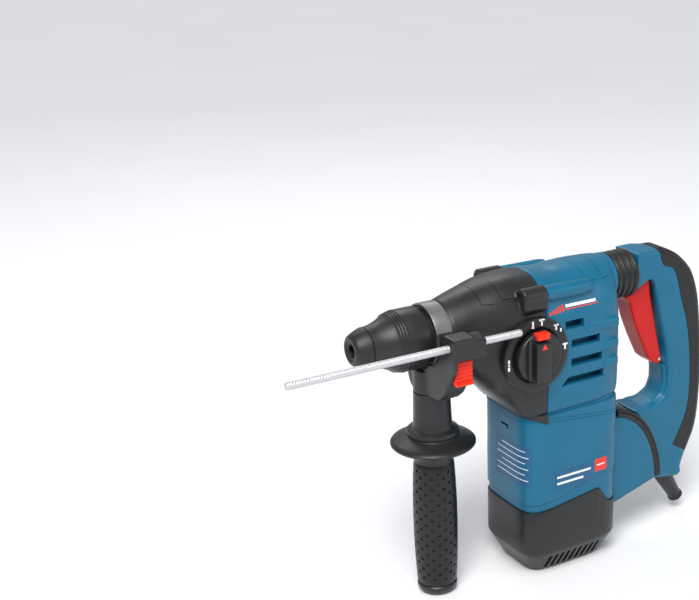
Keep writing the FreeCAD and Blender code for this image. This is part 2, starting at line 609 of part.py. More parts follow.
def makeHandle():
    half = dim("handleHalf")
    gap = dim("gaiterThick") + dim("gaiterGap")
    whole = handleOutline().cut(ellipseCylinder(gap, 40))
    tongue = prism([(258, -141), (276, -141), (312, -146), (312, -166), (276, -159), (258, -159)], 9)
    whole = whole.fuse(tongue)
    backRegion = prism([(291, 60), (297, 25.5), (312, 16), (321, -11), (331, -44), (336, -88), (334, -125),
                        (319, -157), (345, -176), (420, -176), (420, 60)], 60)
    cavity = prism([(dim("handleFront") - 1, 33), (300, 33), (318, 23), (331, 9), (340, -10), (346.5, -35),
                    (351, -65), (353, -104), (349, -141), (334, -170), (314, -170), (309, -120),
                    (304, -92), (306, -79), (313, -70), (298, 2.5),
                    (dim("handleFront") - 1, 2.5)], half - 3.5)
    triggerWay = prism([(280, -0.5), (303, -0.5), (318, -75), (299, -75.8), (290, -60)],
                       dim("triggerHalf") + 0.5)
    body = whole.cut(backRegion).cut(cavity).cut(triggerWay)
    cover = whole.common(backRegion).cut(cavity)
    screws = []
    for z, outside in ((-88, 357), (-140, 354)):
        body = body.fuse(Part.makeCylinder(4.5, outside - 308, Vector(302, 0, z), Vector(1, 0, 0)))
        bore = Part.makeCylinder(1.8, 30, Vector(outside - 30, 0, z), Vector(1, 0, 0))
        sink = Part.makeCylinder(3.7, 20, Vector(outside - 4, 0, z), Vector(1, 0, 0))
        pocket = Part.makeCylinder(4.55, outside - 308, Vector(302, 0, z), Vector(1, 0, 0))
        body, cover = body.cut(bore), cover.cut(bore.fuse([sink, pocket]))
        head = Part.makeCylinder(3.5, 2.4, Vector(outside - 3.9, 0, z), Vector(1, 0, 0))
        screws.append(head.fuse(Part.makeCylinder(1.7, 16, Vector(outside - 19, 0, z), Vector(1, 0, 0))))
    keep(shaped(Part.makeCompound(screws)), "handle_screws")
    body = body.cut(Part.makeCylinder(4.15, 80, Vector(dim("pivotX"), -40, dim("pivotZ")), Vector(0, 1, 0)))
    boot = cordBoot(0)
    body = body.cut(cordBoot(0.05).fuse(bootPlace(Part.makeCylinder(4, 40, Vector(0, 0, -20)))))
    keep(shaped(boot), "cord_boot")
    keep(rod(4, 46, ("pivotX", -23, "pivotZ"), "y"), "handle_pivot_pin")
    body = body.cut(pinWay(1.55, 26.2))
    keep(rod(1.5, 26, ("triggerPivotX", -13, "triggerPivotZ"), "y"), "trigger_pin")
    keep(shaped(body.removeSplitter()), "handle_body")
    keep(shaped(cover.removeSplitter()), "handle_back_cover")
    trigger = prism([(265, -5.5), (289, -3.5), (305, -66), (303, -72.5), (296, -72.5), (290, -63), (276, -29),
                     (268, -9)], dim("triggerHalf"))
    keep(shaped(trigger.cut(pinWay(1.55, 40))), "trigger")
    keep(block((16, 18, 44), (322, 0, -62)), "switch_module")


def makeRearSeals():
    strip = ellipseCylinder(dim("gaiterThick"), dim("footHalf") - 3).cut(ellipseCylinder(0.05, 60))
    strip = strip.common(boxShape((dim("footX") + 5, -60, -180), (330, 60, -90))).cut(tongueWay())
    keep(shaped(strip), "lower_gaiter")
    corners = [(0, 17.5)]
    for fold in range(4):
        corners += [(fold * 5.2, 21.5), (fold * 5.2 + 2.6, 21.5), (fold * 5.2 + 2.6, 19.3),
                    (fold * 5.2 + 5.2, 19.3)]
    corners += [(20.8, 17.5)]
    keep(turned("handle_bellows", corners, "x", ("rearRingX + 0.1", 0, "rearRingZ")), "handle_bellows")


# Auxiliary handle.

def makeAuxHandle():
    keep(ring("clamp_band", "auxX - bandWidth / 2", "auxX + bandWidth / 2", "bandInner", "bandOuter"),
         "clamp_band")
    yz = [(-57, 13), (-40, 13), (-33, -4), (-20, -18), (20, -18), (26, -24), (18, -44), (-17, -48),
          (-34, -44), (-57, -12)]
    points = [Vector(58, y, z) for y, z in yz]
    saddle = Part.Face(Part.makePolygon(points + points[:1])).extrude(Vector(19.6, 0, 0))
    saddle = saddle.fuse(boxShape((70, -57, -6), (88, -41, 13)))
    saddle = saddle.cut(Part.makeCylinder(dim("bandOuter") + 0.05, 60, Vector(40, 0, 0), Vector(1, 0, 0)))
    saddle = saddle.cut(Part.makeCylinder(dim("rodRadius") + 0.1, 60, Vector(40, dim("rodY"), dim("rodZ")),
                                          Vector(1, 0, 0)))
    saddle = saddle.cut(boxShape((61, -60, -30), (78, -44, -8)))
    saddle = saddle.cut(Part.makeCylinder(4.1, 60, Vector(dim("auxX"), 0, -70)))
    saddle = saddle.cut(boxShape((dim("auxX") - 6.2, -6.2, -31.2), (dim("auxX") + 6.2, 6.2, -18)))
    keep(shaped(saddle.removeSplitter()), "clamp_body")
    keep(block((16, 7, 20), (69.5, -49.2, -29)), "rod_release_button")
    keep(rod("rodRadius", "rodRear - rodFront", ("rodFront", "rodY", "rodZ"), "x"), "depth_rod")
    keep(joined(rod(4, 62, ("auxX", 0, -92), "z"), block((12, 12, 2), ("auxX", 0, -31))), "clamp_bolt")
    at = ("auxX", 0, 0)
    keep(turned("aux_handle", [
        (-48.6, 4.2), (-48.6, 15), (-82, 16.5), ("flangeZ + 8", 19), ("flangeZ + 4", 30),
        ("flangeZ + 2", "flangeRadius"), ("flangeZ - 2", "flangeRadius"), ("flangeZ - 6", 22),
        ("gripTop + 2", 15.5), ("gripTop", 13), (-228, 13), (-228, 15), ("standZ + 4", 16.5),
        ("standZ", 13), ("standZ", 0), (-96, 0), (-96, 4.2)], "z", at), "aux_handle")
    keep(turned("aux_grip", [
        ("gripTop - 0.1", 13.02), ("gripTop - 0.1", "gripRadius - 1.5"), ("gripTop - 6", "gripRadius - 0.4"),
        (-185, "gripRadius + 1.4"), (-222, "gripRadius"), (-227.8, "gripRadius - 1"), (-227.8, 13.02)],
        "z", at), "aux_grip")


makeChuck()
makeStriking()
makeGears()
makeMotor()
makeGearHousing()
makeUpperHousing()
makeMotorHousing()
makeMotorCap()
makeInnerFrames()
makeScrews()
makeSelector()
makeHandle()
makeRearSeals()
makeAuxHandle()
doc.recompute()

for item in doc.Objects:
    if "Invalid" in item.State or "Error" in item.State:
        raise ValueError(f"{item.Label} is {item.State}")
for item in subParts:
    if item.Shape.isNull() or not item.Shape.isValid():
        raise ValueError(f"{item.Label} has no valid shape")
for item in subParts:
    item.Shape.exportStep(f"parts/{item.Label}.step")
print(len(subParts), "sub-parts written")
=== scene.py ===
import json
import math
import bmesh
import bpy
from mathutils import Matrix, Vector


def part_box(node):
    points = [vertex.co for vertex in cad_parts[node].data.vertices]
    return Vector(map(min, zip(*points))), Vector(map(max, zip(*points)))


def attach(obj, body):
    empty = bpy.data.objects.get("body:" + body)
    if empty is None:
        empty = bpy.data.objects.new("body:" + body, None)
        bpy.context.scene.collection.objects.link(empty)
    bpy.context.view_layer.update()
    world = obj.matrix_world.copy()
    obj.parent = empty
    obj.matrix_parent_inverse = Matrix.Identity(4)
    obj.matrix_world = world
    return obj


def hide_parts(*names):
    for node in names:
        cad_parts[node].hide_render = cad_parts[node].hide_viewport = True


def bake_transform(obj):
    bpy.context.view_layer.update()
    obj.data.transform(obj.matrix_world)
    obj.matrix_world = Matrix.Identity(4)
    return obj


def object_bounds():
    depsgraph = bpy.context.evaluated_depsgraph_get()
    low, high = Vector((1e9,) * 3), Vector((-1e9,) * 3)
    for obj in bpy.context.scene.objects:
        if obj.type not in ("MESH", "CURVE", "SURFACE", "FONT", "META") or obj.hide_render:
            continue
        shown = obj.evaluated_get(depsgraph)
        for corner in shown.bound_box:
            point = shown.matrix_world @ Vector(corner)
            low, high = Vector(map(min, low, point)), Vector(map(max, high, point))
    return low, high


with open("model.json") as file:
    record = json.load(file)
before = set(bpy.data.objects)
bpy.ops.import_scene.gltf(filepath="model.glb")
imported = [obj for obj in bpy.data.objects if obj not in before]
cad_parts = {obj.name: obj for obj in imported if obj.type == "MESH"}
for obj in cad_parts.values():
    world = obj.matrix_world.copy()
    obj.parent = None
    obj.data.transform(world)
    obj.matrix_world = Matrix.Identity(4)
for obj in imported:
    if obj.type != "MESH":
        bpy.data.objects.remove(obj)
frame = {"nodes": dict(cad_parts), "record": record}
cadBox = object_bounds()
print("frame loaded")

mm = 0.001  # meshes are made in millimetres and scaled once at the end


# corners of a CAD node in millimetres
def nodeBox(name):
    low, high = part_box(name)
    return low / mm, high / mm


# camera

view = {"azimuth": -34, "elevation": 22.5, "distance": 1.13, "target": (0.165, 0, -0.07),
        "lens": 66.93, "shiftX": -0.2554, "shiftY": 0.1263}

azimuth, elevation = math.radians(view["azimuth"]), math.radians(view["elevation"])
back = Vector((math.sin(azimuth) * math.cos(elevation), -math.cos(azimuth) * math.cos(elevation),
               math.sin(elevation)))
lensData = bpy.data.cameras.new("camera")
lensData.sensor_width = 36
lensData.lens = view["lens"]
lensData.shift_x = view["shiftX"]
lensData.shift_y = view["shiftY"]
camera = bpy.data.objects.new("camera", lensData)
bpy.context.scene.collection.objects.link(camera)
camera.location = Vector(view["target"]) + back * view["distance"]
camera.rotation_euler = (-back).to_track_quat("-Z", "Y").to_euler()
bpy.context.scene.camera = camera
bpy.context.scene.view_settings.view_transform = "Standard"


# finishes

# a moulded, rubber or metal surface: grain in the bump, patches in gloss and tone
def finish(name, colour, roughness, metallic=0.0, grain=(1800, 0.12), patch=(40, 0.07), tone=0.12,
           sheen=0.0, streak=None, shine=0.4):
    material = bpy.data.materials.new(name)
    material.use_nodes = True
    nodes, links = material.node_tree.nodes, material.node_tree.links
    shader = nodes["Principled BSDF"]
    shader.inputs["Metallic"].default_value = metallic
    shader.inputs["Specular IOR Level"].default_value = 0.5 if metallic else shine
    shader.inputs["Sheen Weight"].default_value = sheen
    place = nodes.new("ShaderNodeTexCoord")
    mapping = nodes.new("ShaderNodeMapping")
    mapping.inputs["Scale"].default_value = streak or (1, 1, 1)
    links.new(place.outputs["Object"], mapping.inputs["Vector"])
    fine = nodes.new("ShaderNodeTexNoise")
    fine.inputs["Scale"].default_value = grain[0]
    fine.inputs["Detail"].default_value = 3
    broad = nodes.new("ShaderNodeTexNoise")
    broad.inputs["Scale"].default_value = patch[0]
    broad.inputs["Detail"].default_value = 5
    links.new(mapping.outputs["Vector"], fine.inputs["Vector"])
    links.new(place.outputs["Object"], broad.inputs["Vector"])
    bump = nodes.new("ShaderNodeBump")
    bump.inputs["Strength"].default_value = grain[1]
    bump.inputs["Distance"].default_value = 0.0004
    links.new(fine.outputs["Fac"], bump.inputs["Height"])
    links.new(bump.outputs["Normal"], shader.inputs["Normal"])
    gloss = nodes.new("ShaderNodeMapRange")
    gloss.inputs["From Min"].default_value = 0.3
    gloss.inputs["From Max"].default_value = 0.7
    gloss.inputs["To Min"].default_value = max(roughness - patch[1], 0.03)
    gloss.inputs["To Max"].default_value = min(roughness + patch[1], 1)
    links.new(broad.outputs["Fac"], gloss.inputs["Value"])
    links.new(gloss.outputs["Result"], shader.inputs["Roughness"])
    ramp = nodes.new("ShaderNodeValToRGB")
    ramp.color_ramp.elements[0].position = 0.3
    ramp.color_ramp.elements[0].color = [c * (1 - tone) for c in colour] + [1]
    ramp.color_ramp.elements[1].position = 0.7
    ramp.color_ramp.elements[1].color = [min(c * (1 + tone), 1) for c in colour] + [1]
    links.new(broad.outputs["Fac"], ramp.inputs["Fac"])
    links.new(ramp.outputs["Color"], shader.inputs["Base Color"])
    return material


blackPlastic = finish("moulded_black", (0.016, 0.017, 0.018), 0.36, grain=(2200, 0.25))
glossBlack = finish("smooth_black", (0.010, 0.010, 0.011), 0.30, grain=(900, 0.05))
bluePlastic = finish("satin_blue", (0.005, 0.122, 0.222), 0.34, grain=(2600, 0.1), tone=0.05, shine=0.32)
softBlack = finish("soft_grip_black", (0.010, 0.011, 0.012), 0.42, grain=(1500, 0.3), shine=0.35)
rubberBlack = finish("matt_rubber", (0.011, 0.0115, 0.012), 0.42, grain=(1100, 0.2), sheen=0.05)
triggerRed = finish("satin_red", (0.52, 0.004, 0.002), 0.34, grain=(2000, 0.08), tone=0.05, shine=0.3)
buttonRed = finish("button_red", (0.80, 0.028, 0.008), 0.36, shine=0.3, grain=(2000, 0.08), tone=0.05)
bandGrey = finish("phosphated_steel", (0.17, 0.17, 0.175), 0.38, 0.4, grain=(2400, 0.1), patch=(90, 0.1))
steelGround = finish("ground_steel", (0.52, 0.52, 0.53), 0.28, 1.0, streak=(1, 12, 12), patch=(60, 0.08))
darkSteel = finish("oiled_steel", (0.16, 0.16, 0.17), 0.32, 1.0, patch=(80, 0.12))
rodSteel = finish("knurled_zinc", (0.62, 0.62, 0.63), 0.38, 0.6, grain=(1500, 0.6), patch=(300, 0.06),
                  tone=0.04)
castAlloy = finish("cast_alloy", (0.50, 0.50, 0.52), 0.42, 1.0, grain=(700, 0.5))
wireCopper = finish("enamelled_copper", (0.55, 0.20, 0.08), 0.35, 1.0, grain=(900, 0.4), streak=(1, 1, 6))
markWhite = finish("printed_white", (0.86, 0.87, 0.88), 0.45, grain=(2500, 0.05), tone=0.03)
markRed = finish("printed_red", (0.78, 0.035, 0.02), 0.45, grain=(2500, 0.05), tone=0.04)
panelBlue = finish("printed_blue", (0.008, 0.095, 0.205), 0.42, grain=(2500, 0.06), tone=0.06)

slotFinish = {"black_plastic": blackPlastic, "blue_plastic": bluePlastic, "soft_grip": softBlack,
              "red_plastic": triggerRed, "steel": steelGround, "dark_steel": darkSteel,
              "chrome_steel": rodSteel, "aluminium": castAlloy, "copper": wireCopper,
              "rubber": rubberBlack}
slotOf = {part["node"]: part["material_slot"] for part in frame["record"]["subparts"]}
for node, item in frame["nodes"].items():
    for place in item.material_slots:
        place.material = slotFinish[slotOf[node]]
print("finishes made")


# mesh helpers

# a loop of edges through points, made from a circle of as many corners
def laidRing(bm, points):
    made = bmesh.ops.create_circle(bm, segments=len(points), radius=1)["verts"]
    for vert, point in zip(made, points):
        vert.co = point
    return list({edge for vert in made for edge in vert.link_edges})


def lofted(bm, rings, capFirst=True, capLast=True):
    loops = [laidRing(bm, points) for points in rings]
    for first, second in zip(loops, loops[1:]):
        bmesh.ops.bridge_loops(bm, edges=first + second)
    for wanted, loop in ((capFirst, loops[0]), (capLast, loops[-1])):
        if wanted:
            bmesh.ops.contextual_create(bm, geom=loop)


# a turned shape: the profile is (distance along the axis, radius), closed on itself
def spun(bm, profile, axis="x", at=(0, 0, 0), steps=96):
    along = {"x": Vector((1, 0, 0)), "y": Vector((0, 1, 0)), "z": Vector((0, 0, 1))}[axis]
    across = {"x": Vector((0, 0, 1)), "y": Vector((0, 0, 1)), "z": Vector((1, 0, 0))}[axis]
    centre = Vector(at)
    verts = [bm.verts.new(centre + along * far + across * radius) for far, radius in profile]
    edges = [bm.edges.new((a, b)) for a, b in zip(verts, verts[1:])]
    if profile[0][1] > 0 or profile[-1][1] > 0:
        edges.append(bm.edges.new((verts[-1], verts[0])))
    bmesh.ops.spin(bm, geom=verts + edges, cent=centre, axis=along, angle=2 * math.pi, steps=steps,
                   use_merge=True)


# a flat outline given thickness, its two faces rounded over by repeated insets
def pillow(bm, outline, low, high, axis="y", radius=4, steps=4):
    places = {"x": lambda u, v, w: (w, u, v), "y": lambda u, v, w: (u, w, v), "z": lambda u, v,
              w: (u, v, w)}
    verts = [bm.verts.new(places[axis](u, v, low + radius)) for u, v in outline]
    base = bm.faces.new(verts)
    grown = bmesh.ops.extrude_face_region(bm, geom=[base])["geom"]
    top = next(item for item in grown if isinstance(item, bmesh.types.BMFace))
    shift = Vector(places[axis](0, 0, high - low - 2 * radius))
    bmesh.ops.translate(bm, verts=list(top.verts), vec=shift)
    bmesh.ops.recalc_face_normals(bm, faces=bm.faces)
    for face in (base, top):
        for step in range(steps):
            first, second = (math.pi / 2 * (step + i) / steps for i in (0, 1))
            inward = radius * (math.cos(first) - math.cos(second))
            outward = radius * (math.sin(second) - math.sin(first))
            bmesh.ops.inset_region(bm, faces=[face], thickness=inward, depth=outward,
                                   use_even_offset=True)


# a block between two corners with rounded edges
def boxed(bm, low, high, radius=0.6, segments=3):
    made = bmesh.ops.create_cube(bm, size=1)["verts"]
    size = [b - a for a, b in zip(low, high)]
    bmesh.ops.scale(bm, verts=made, vec=size)
    bmesh.ops.translate(bm, verts=made, vec=[(a + b) / 2 for a, b in zip(low, high)])
    edges = list({edge for vert in made for edge in vert.link_edges})
    if radius:
        bmesh.ops.bevel(bm, geom=edges, offset=radius, offset_type="OFFSET", affect="EDGES",
                        segments=segments, profile=0.5, material=-1)


# closes a mesh, makes the object and hands it to its body
def piece(name, bm, material, body="root", nodes=(), smooth=32, turn=None):
    bmesh.ops.remove_doubles(bm, verts=bm.verts, dist=0.001)
    bmesh.ops.recalc_face_normals(bm, faces=bm.faces)
    if turn:
        bmesh.ops.transform(bm, verts=bm.verts, matrix=turn)
    bmesh.ops.scale(bm, verts=bm.verts, vec=(mm, mm, mm))
    mesh = bpy.data.meshes.new(name)
    bm.to_mesh(mesh)
    bm.free()
    mesh.shade_smooth()
    mesh.set_sharp_from_angle(angle=math.radians(smooth))
    mesh.materials.append(material)
    item = bpy.data.objects.new(name, mesh)
    bpy.context.scene.collection.objects.link(item)
    if body:
        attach(item, body)
    if nodes:
        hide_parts(*nodes)
    return item


# applies an object's modifiers to its mesh
def settled(item):
    graph = bpy.context.evaluated_depsgraph_get()
    mesh = bpy.data.meshes.new_from_object(item.evaluated_get(graph))
    old = item.data
    item.modifiers.clear()
    item.data = mesh
    bpy.data.meshes.remove(old)


# cuts an object with a mesh in millimetres
def carved(item, bm, operation="DIFFERENCE", smooth=32):
    cutter = piece(item.name + "_cutter", bm, item.data.materials[0], body=None)
    change = item.modifiers.new("cut", "BOOLEAN")
    change.operation = operation
    change.solver = "EXACT"
    change.object = cutter
    settled(item)
    bpy.data.objects.remove(cutter)
    item.data.set_sharp_from_angle(angle=math.radians(smooth))


# runs a shape together as one moulding with soft edges
def melted(item, voxel=1.2, rounds=12, smooth=60):
    change = item.modifiers.new("remesh", "REMESH")
    change.mode = "VOXEL"
    change.voxel_size = voxel * mm
    soften = item.modifiers.new("soften", "SMOOTH")
    soften.factor = 0.5
    soften.iterations = rounds
    settled(item)
    item.data.shade_smooth()
    item.data.set_sharp_from_angle(angle=math.radians(smooth))


# gives an open shell its wall, inwards
def thickened(item, wall, smooth=32):
    change = item.modifiers.new("wall", "SOLIDIFY")
    change.thickness = wall * mm
    change.offset = -1
    settled(item)
    item.data.set_sharp_from_angle(angle=math.radians(smooth))


def roundedPoint(angle, upper, lower):
    power = upper if math.sin(angle) > 0 else lower
    return [math.copysign(abs(part) ** (2 / power), part) for part in (math.cos(angle), math.sin(angle))]


def upright(x, half, top, bottom, upper, lower, steps=72):
    middle, high = (top + bottom) / 2, (top - bottom) / 2
    spots = [roundedPoint(2 * math.pi * (i + 0.5) / steps, upper, lower) for i in range(steps)]
    return [Vector((x, half * across, middle + high * up)) for across, up in spots]


# more rows between the given ones, on a smooth curve through them
def eased(rows, extra=3):
    full = []
    for i in range(len(rows) - 1):
        before, a, b = rows[max(i - 1, 0)], rows[i], rows[i + 1]
        after = rows[min(i + 2, len(rows) - 1)]
        for step in range(extra + 1):
            t = step / (extra + 1)
            row = []
            for p0, p1, p2, p3 in zip(before, a, b, after):
                row.append(0.5 * (2 * p1 + (p2 - p0) * t + (2 * p0 - 5 * p1 + 4 * p2 - p3) * t ** 2
                                  + (3 * p1 - p0 - 3 * p2 + p3) * t ** 3))
            full.append(row)
    return full + [list(rows[-1])]


# chuck

capLow, capHigh = nodeBox("dust_cap")
sleeveLow, sleeveHigh = nodeBox("locking_sleeve")

chuck = {"mouth": 5.6, "noseRadius": 12.5, "capRadius": capHigh.y, "sleeveRadius": sleeveHigh.y,
         "ribs": 4, "ribFront": 30.5, "ribPitch": 2.3, "ribDepth": 0.7}

bm = bmesh.new()
nose, rear = capLow.x, capHigh.x
spun(bm, [(nose + 5, chuck["mouth"]), (nose + 1.6, chuck["mouth"]), (nose + 1.1, 6.1), (nose + 1.1, 7.6),
          (nose + 0.5, 8.2), (nose, 8.9), (nose, 10.3), (nose + 0.4, 11.3),
          (nose + 1.3, chuck["noseRadius"]),
          (nose + 3.5, 13.7), (nose + 8, 15.7), (rear - 1.2, 16.9), (rear - 0.3, 17.1), (rear, 16.7),
          (rear, 11.1), (nose + 5, 11.1)])
piece("nose_cap", bm, rubberBlack, "sleeve", ["dust_cap"], 40)

bm = bmesh.new()
front, end, wide = sleeveLow.x, sleeveHigh.x, chuck["sleeveRadius"]
bell = [(front, 11.8), (front, 16.2), (front + 0.5, 16.9), (front + 4, 17.3), (front + 8, 18.1),
        (front + 12, 19.4),
        (front + 16, 21.1), (front + 19, 22.7)]
for rib in range(chuck["ribs"]):
    x = chuck["ribFront"] + rib * chuck["ribPitch"]
    level = 23.3 + rib * 0.55
    bell += [(x - 0.2, level), (x + 0.2, level + chuck["ribDepth"]), (x + 1.1,
                                                                      level + chuck["ribDepth"] + 0.1),
             (x + 1.4, level + 0.2)]
bell += [(40.2, wide - 0.3), (42, wide), (end - 1.6, wide), (end - 0.5, wide - 0.4), (end, wide - 1.2),
         (end, 22.35), (42, 22.35), (42, 17.1), (22, 17.1), (22, 11.8)]
spun(bm, bell, steps=120)
piece("locking_collar", bm, blackPlastic, "sleeve", ["locking_sleeve"], 30)
print("chuck made")


# gear housing

dialX, dialZ = 144.5, -21  # middle of the mode dial

gearHigh = nodeBox("gear_housing")[1]
gearCase = {
    # x, half width, top, bottom, how square above and below
    "rows": [(78, 27, 27, -27, 2, 2), (90, 30.3, 30.6, -35.5, 2.1, 2.2), (103, 33.5, 34, -46, 2.2, 2.4),
             (114, 36, 36.8, -57, 2.35, 2.8), (125, 38, 38.5, -68, 2.5, 3.4),
             (139, 40, 39.5, -79.6, 2.6, 10),
             (150, 40.4, 39.5, -79.8, 2.6, 20),
             (157.2, 40.5, 39.5, -79.8, 2.6, 24)],
    "lugRadius": 7.5, "lugHeights": (27, 20, -62), "wall": 2.6,
    # x, how far back it turns, height of the turn, how far round it starts
    "seams": [(103.8, 10.2, 24.2, 24.6), (120.4, 9.6, 26.4, 26)], "seamWidth": 0.45}


# the thin L-shaped seams of a housing's top, either the runs across or the runs back
def seamCuts(bm, side, seams, turned):
    gap = gearCase["seamWidth"]
    for x, leg, z, reach in seams:
        inner, outer = sorted((side * 20, side * 42)) if turned else sorted((side, side * reach))
        if turned:
            boxed(bm, (x, inner, z), (x + leg, outer, z + gap), 0)
        else:
            boxed(bm, (x, inner, z), (x + gap, outer, 50), 0)


def roundRow(x, radius):
    return (x, radius, radius, -radius, 2, 2)


bm = bmesh.new()
rows = [roundRow(61.6, 24.4), roundRow(62.1, 25), roundRow(74.6, 25), roundRow(76, 25.3),
        roundRow(77, 26.1)] + eased(gearCase["rows"])
rows.append((gearHigh.x, 40.2, 39.2, -79.7, 2.6, 24))
lofted(bm, [upright(*row) for row in rows])
for side in (-1, 1):
    for z in gearCase["lugHeights"]:
        x = gearHigh.x
        spun(bm, [(x - 23, 0), (x - 23, 6.2), (x - 22, gearCase["lugRadius"]), (x, gearCase["lugRadius"]),
                  (x, 0)], "x", (0, 33 * side, z), 32)
    pillow(bm, [(x - 21, 18), (x - 1, 18), (x - 1, 31), (x - 21, 31)], *sorted((side * 20, side * 34)),
           radius=0.01, steps=1)
gearShell = piece("gear_case", bm, blackPlastic, "root", ["gear_housing"])
melted(gearShell, 1.0, 5)
thickened(gearShell, gearCase["wall"])
bm = bmesh.new()
spun(bm, [(-48, 0), (-48, 32.3), (-37, 32.3), (-37, 8), (-30, 8), (-30, 0)], "y", (dialX, 0, dialZ), 64)
spun(bm, [(40, 0), (40, 19.8), (90, 19.8), (90, 0)], "x", (0, 0, 0), 64)
for side in (-1, 1):
    seamCuts(bm, side, gearCase["seams"], False)
    spun(bm, [(130, 0), (130, 3.9), (136, 3.9), (136, 0)], "x", (0, 33 * side, 27), 24)
carved(gearShell, bm)
bm = bmesh.new()
for side in (-1, 1):
    seamCuts(bm, side, gearCase["seams"], True)
carved(gearShell, bm)
bm = bmesh.new()
lofted(bm, [upright(x, 35, 34, -75, 2.6, 12) for x in (153, 165)])
carved(gearShell, bm)
bm = bmesh.new()
spun(bm, [(48, 20.1), (48, 21.1), (48.5, 21.5), (62, 21.5), (62, 20.1)], "x")
piece("gear_neck", bm, blackPlastic, "root", ())
print("gear housing made")


# upper housing

upperLow, upperHigh = nodeBox("upper_housing")
motorMiddle = 190
upperCase = {
    "rows": [(158.15, 40.5, 39.5, -79.8, 2.6, 24), (164, 40.4, 39.3, -79.8, 2.6, 24),
             (176, 40.3, 37.6, -79.8, 2.6, 24), (190, 40.2, 38.6, -79.8, 2.6, 24),
             (206, 40.1, 39.3, -79.8, 2.6, 24),
             (219, 38.8, 39.5, -79.8, 2.55, 22), (230, 35.9, 39.5, -79.8, 2.45, 20),
             (236.5, 32.5, 39.4, -79.6, 2.4, 16)],
    "wall": 2.8,
    "vents": [(176, 195, -3, 0), (182, 212, -20, 0), (182, 215, -37, 0), (172, 217, -53, 7)],
    "ventHalf": 3.6, "seams": [(204, 11, 27.5, 25.5), (221.5, 9.5, 27, 25.5)],
    "steps": [(198, 232, -9.5), (215, 232, -28.5), (218, 232, -45)]}

bm = bmesh.new()
rows = eased(upperCase["rows"])
rows += [(238.8, 30.6, 38.6, -79, 2.3, 12), (239.8, 29.2, 37.4, -77.8, 2.2, 8), (240, 26, 35, -75, 2.2, 6)]
lofted(bm, [upright(*row) for row in rows])
for side in (-1, 1):
    x = upperLow.x
    spun(bm, [(x, 0), (x, 6.8), (x + 40, 6.4), (x + 46, 5.4), (x + 48, 3), (x + 48, 0)], "x",
         (0, 33.2 * side, 26.5), 32)
    spun(bm, [(x, 0), (x, 7.5), (x + 15, 7.5), (x + 17.5, 6), (x + 18, 4), (x + 18, 0)], "x",
         (0, 33 * side, -62), 32)
    for start, end, z in upperCase["steps"]:
        pillow(bm, [(start, z - 3.6), (end, z - 3.6), (end, z + 3.6), (start + 3, z + 3.6)],
               *sorted((side * 20, side * 40.9)), radius=0.01, steps=1)
spun(bm, [(228, 0), (228, 21.8), (upperHigh.x - 0.8, 21.8), (upperHigh.x, 21.2), (upperHigh.x, 0)], "x",
     (0, 0, 17.5), 64)
upperShell = piece("upper_case", bm, bluePlastic, "root", ["upper_housing"])
melted(upperShell, 1.0, 5)
thickened(upperShell, upperCase["wall"])
bm = bmesh.new()
for side in (-1, 1):
    for start, end, z, slant in upperCase["vents"]:
        half = upperCase["ventHalf"]
        pillow(bm, [(start, z - half), (end, z - half), (end, z + half), (start + slant, z + half)],
               *sorted((side * 30, side * 45)), radius=0.01, steps=1)
    seamCuts(bm, side, upperCase["seams"], False)
spun(bm, [(-50, 0), (-50, 32.3), (-36, 32.3), (-36, 0)], "y", (dialX, 0, dialZ), 64)
spun(bm, [(225, 0), (225, 18), (250, 18), (250, 0)], "x", (0, 0, 17.5), 64)
spun(bm, [(-90, 0), (-90, 28), (-76, 28), (-76, 0)], "z", (motorMiddle, 0, 0), 48)
carved(upperShell, bm)
bm = bmesh.new()
lofted(bm, [upright(x, 35, 34, -75, 2.6, 12) for x in (150, 163)])
carved(upperShell, bm)
bm = bmesh.new()
for side in (-1, 1):
    seamCuts(bm, side, upperCase["seams"], True)
carved(upperShell, bm)
print("upper housing made")


# motor housing and cap

motorTop = nodeBox("motor_housing")[1].z
capFloor = nodeBox("motor_cap")[0].z
motor = {"middle": motorMiddle, "halfLength": 51, "half": 41, "power": 5, "wall": 2.8}


def level(z, long, half, steps=96):
    power = motor["power"]
    spots = [roundedPoint(2 * math.pi * (i + 0.5) / steps, power, power) for i in range(steps)]
    return [Vector((motor["middle"] + long * u, half * v, z)) for u, v in spots]


# height at x on a line of straight runs
def alongLine(spots, x):
    for (x0, z0), (x1, z1) in zip(spots, spots[1:]):
        if x0 <= x <= x1:
            return z0 + (z1 - z0) * (x - x0) / (x1 - x0)
    return spots[0][1] if x < spots[0][0] else spots[-1][1]


motorLines = {
    "meeting": [(150, -172), (160, -170.6), (213, -163.8), (214.5, -164.2), (224, -178), (227, -180.2),
                (235, -181.6)],
    "step": [(150, -164.2), (171, -160.6), (193, -154.6), (214, -149.8), (232, -148.2)],
    "seam": [(150, -82), (237, -92.4)],
    "skirt": [(139, -80.5), (150, -84), (158, -87.6)]}


# a level ring round the motor housing whose height follows one of its lines
def wavyLevel(line, rise, inset=0.0, steps=160):
    points = level(0, motor["halfLength"] - inset, motor["half"] - inset, steps=steps)
    for point in points:
        point.z = alongLine(motorLines[line], point.x) + rise
    return points


